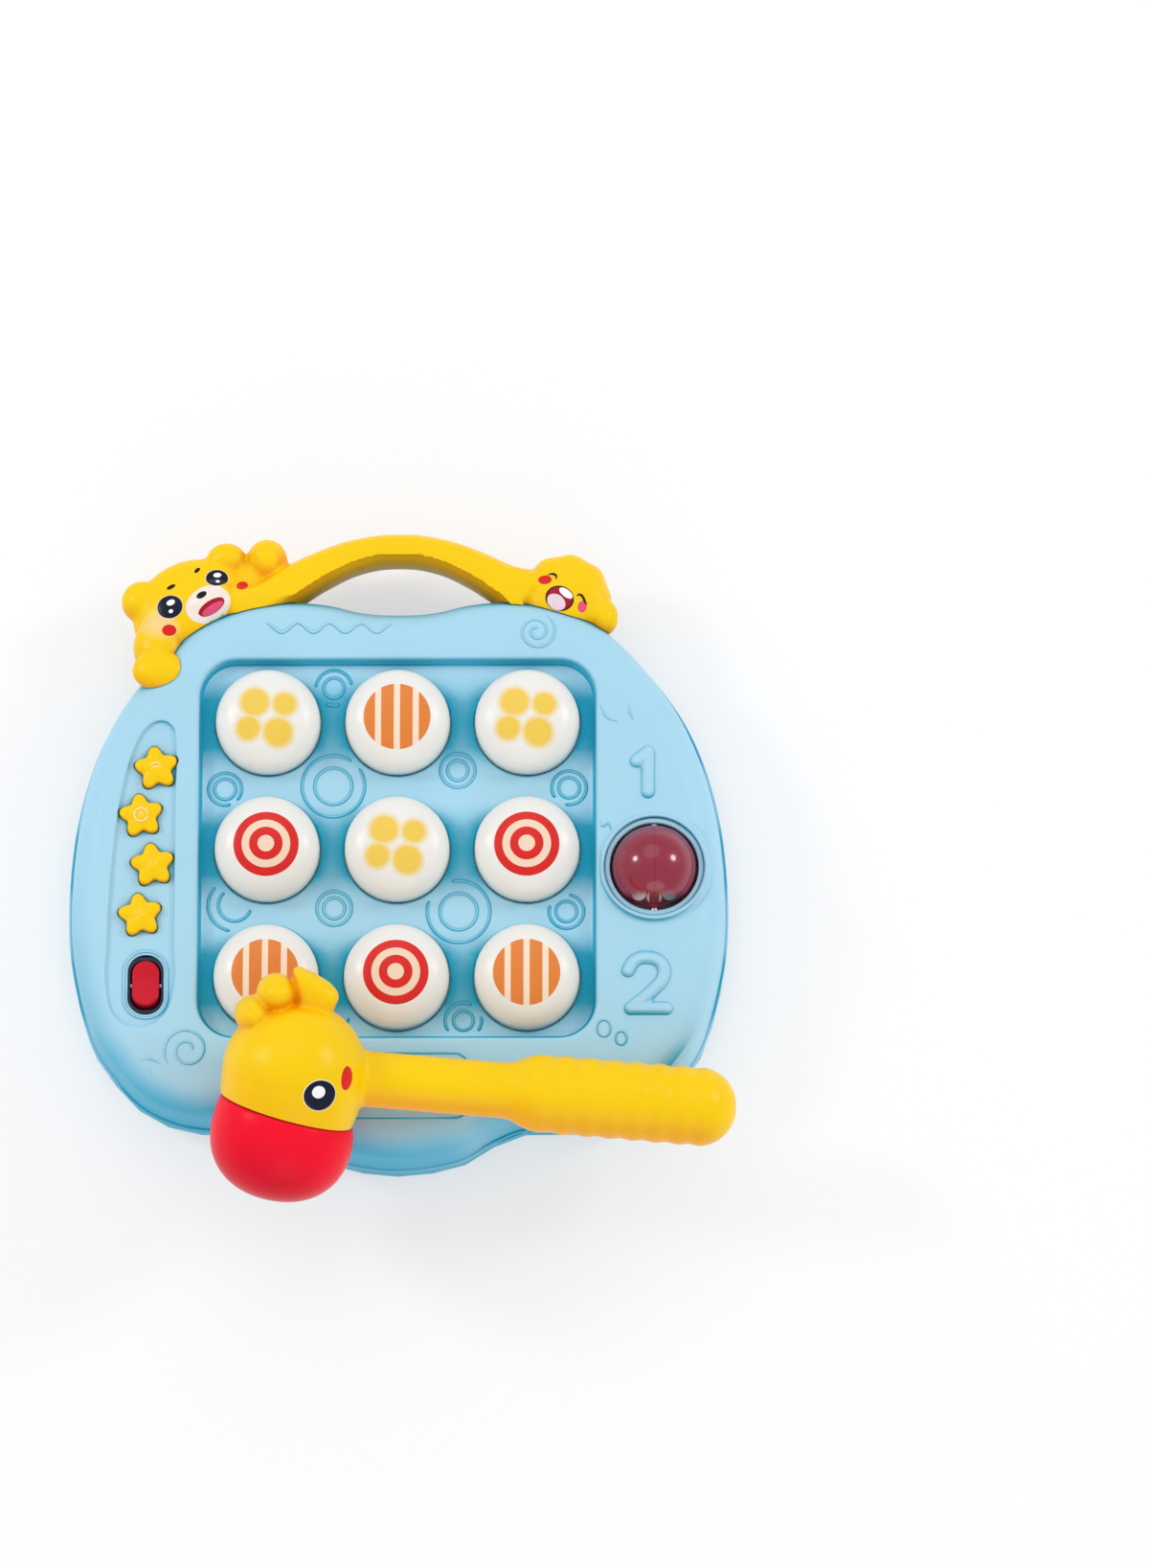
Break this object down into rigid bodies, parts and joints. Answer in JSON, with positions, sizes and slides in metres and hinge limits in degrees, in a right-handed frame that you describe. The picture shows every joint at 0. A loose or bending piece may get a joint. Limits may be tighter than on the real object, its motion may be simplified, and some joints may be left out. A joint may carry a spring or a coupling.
{
  "type": "mole pounding game",
  "caption": "Rounded flat console with pressable domes in a recess, star keys, rocker switch, turning rattle ball, arched carry handle with animal heads, and a chick-shaped mallet.",
  "frame": {"origin": "middle of the console's flat back, on the surface it lies on", "axes": "+Z out of the play face, +Y towards the carry handle, +X to the right seen from the play face"},
  "size_m": [0.2522, 0.2623, 0.0986],
  "materials": {
    "light_blue_abs": "satin moulded",
    "yellow_abs": "gloss moulded",
    "dome_white": "translucent gloss",
    "red_abs": "gloss moulded",
    "clear_crimson": "clear gloss",
    "dark_abs": "matt moulded",
    "steel": "zinc plated",
    "circuit_board": "solder mask",
    "silicone": "matt",
    "cell_sleeve": "printed sleeve",
    "bead_white": "gloss",
    "bead_beige": "gloss",
    "bead_teal": "gloss"
  },
  "bodies": {
    "console": {"front_shell": "light_blue_abs", "back_shell": "light_blue_abs", "battery_door": "light_blue_abs", "battery_door_screw": "steel", "battery_1": "cell_sleeve", "battery_2": "cell_sleeve", "battery_3": "cell_sleeve", "battery_contact_left": "steel", "battery_contact_right": "steel", "shell_screw_1": "steel", "shell_screw_2": "steel", "shell_screw_3": "steel", "shell_screw_4": "steel", "shell_screw_5": "steel", "shell_screw_6": "steel", "main_board": "circuit_board", "board_screw_1": "steel", "board_screw_2": "steel", "return_dome_1": "silicone", "return_dome_2": "silicone", "return_dome_3": "silicone", "return_dome_4": "silicone", "return_dome_5": "silicone", "return_dome_6": "silicone", "return_dome_7": "silicone", "return_dome_8": "silicone", "return_dome_9": "silicone", "star_keypad": "silicone", "side_board": "circuit_board", "rocker_pin": "steel", "switch_body": "dark_abs", "ball_axle": "steel", "ball_socket": "light_blue_abs", "speaker": "dark_abs", "handle_front": "yellow_abs", "handle_rear": "yellow_abs"},
    "mole_1": {"mole_button_1": "dome_white"},
    "mole_2": {"mole_button_2": "dome_white"},
    "mole_3": {"mole_button_3": "dome_white"},
    "mole_4": {"mole_button_4": "dome_white"},
    "mole_5": {"mole_button_5": "dome_white"},
    "mole_6": {"mole_button_6": "dome_white"},
    "mole_7": {"mole_button_7": "dome_white"},
    "mole_8": {"mole_button_8": "dome_white"},
    "mole_9": {"mole_button_9": "dome_white"},
    "star_1": {"star_button_1": "yellow_abs"},
    "star_2": {"star_button_2": "yellow_abs"},
    "star_3": {"star_button_3": "yellow_abs"},
    "star_4": {"star_button_4": "yellow_abs"},
    "rocker": {"rocker_button": "red_abs"},
    "rattle_ball": {"rattle_ball_left": "clear_crimson", "rattle_ball_right": "clear_crimson", "bead_1": "bead_white", "bead_2": "bead_beige", "bead_3": "bead_teal"},
    "mallet": {"mallet_shell_front": "yellow_abs", "mallet_shell_back": "yellow_abs", "mallet_strike_cap": "red_abs", "mallet_screw_1": "steel", "mallet_screw_2": "steel"}
  },
  "joints": [
    {"name": "mole_press_1", "type": "slide", "parent": "console", "child": "mole_1", "axis": [0, 0, -1], "range_m": [0, 0.004], "stiffness_N_per_m": 300, "springref_m": -0.003, "deforming": ["return_dome_1"]},
    {"name": "mole_press_2", "type": "slide", "parent": "console", "child": "mole_2", "axis": [0, 0, -1], "range_m": [0, 0.004], "stiffness_N_per_m": 300, "springref_m": -0.003, "deforming": ["return_dome_2"]},
    {"name": "mole_press_3", "type": "slide", "parent": "console", "child": "mole_3", "axis": [0, 0, -1], "range_m": [0, 0.004], "stiffness_N_per_m": 300, "springref_m": -0.003, "deforming": ["return_dome_3"]},
    {"name": "mole_press_4", "type": "slide", "parent": "console", "child": "mole_4", "axis": [0, 0, -1], "range_m": [0, 0.004], "stiffness_N_per_m": 300, "springref_m": -0.003, "deforming": ["return_dome_4"]},
    {"name": "mole_press_5", "type": "slide", "parent": "console", "child": "mole_5", "axis": [0, 0, -1], "range_m": [0, 0.004], "stiffness_N_per_m": 300, "springref_m": -0.003, "deforming": ["return_dome_5"]},
    {"name": "mole_press_6", "type": "slide", "parent": "console", "child": "mole_6", "axis": [0, 0, -1], "range_m": [0, 0.004], "stiffness_N_per_m": 300, "springref_m": -0.003, "deforming": ["return_dome_6"]},
    {"name": "mole_press_7", "type": "slide", "parent": "console", "child": "mole_7", "axis": [0, 0, -1], "range_m": [0, 0.004], "stiffness_N_per_m": 300, "springref_m": -0.003, "deforming": ["return_dome_7"]},
    {"name": "mole_press_8", "type": "slide", "parent": "console", "child": "mole_8", "axis": [0, 0, -1], "range_m": [0, 0.004], "stiffness_N_per_m": 300, "springref_m": -0.003, "deforming": ["return_dome_8"]},
    {"name": "mole_press_9", "type": "slide", "parent": "console", "child": "mole_9", "axis": [0, 0, -1], "range_m": [0, 0.004], "stiffness_N_per_m": 300, "springref_m": -0.003, "deforming": ["return_dome_9"]},
    {"name": "star_press_1", "type": "slide", "parent": "console", "child": "star_1", "axis": [0, 0, -1], "range_m": [0, 0.0015], "stiffness_N_per_m": 400, "springref_m": -0.002},
    {"name": "star_press_2", "type": "slide", "parent": "console", "child": "star_2", "axis": [0, 0, -1], "range_m": [0, 0.0015], "stiffness_N_per_m": 400, "springref_m": -0.002},
    {"name": "star_press_3", "type": "slide", "parent": "console", "child": "star_3", "axis": [0, 0, -1], "range_m": [0, 0.0015], "stiffness_N_per_m": 400, "springref_m": -0.002},
    {"name": "star_press_4", "type": "slide", "parent": "console", "child": "star_4", "axis": [0, 0, -1], "range_m": [0, 0.0015], "stiffness_N_per_m": 400, "springref_m": -0.002},
    {"name": "rocker_tilt", "type": "hinge", "parent": "console", "child": "rocker", "pos_m": [-0.09419, -0.04091, 0.03744], "axis": [1, 0, 0], "range_deg": [0, 16]},
    {"name": "ball_spin", "type": "hinge", "parent": "console", "child": "rattle_ball", "pos_m": [0.0969, 0.00372, 0.04], "axis": [0, 1, 0], "continuous": true},
    {"name": "mallet_lift", "type": "slide", "parent": "console", "child": "mallet", "axis": [0, 0, 1], "range_m": [0, 0.15]}
  ]
}
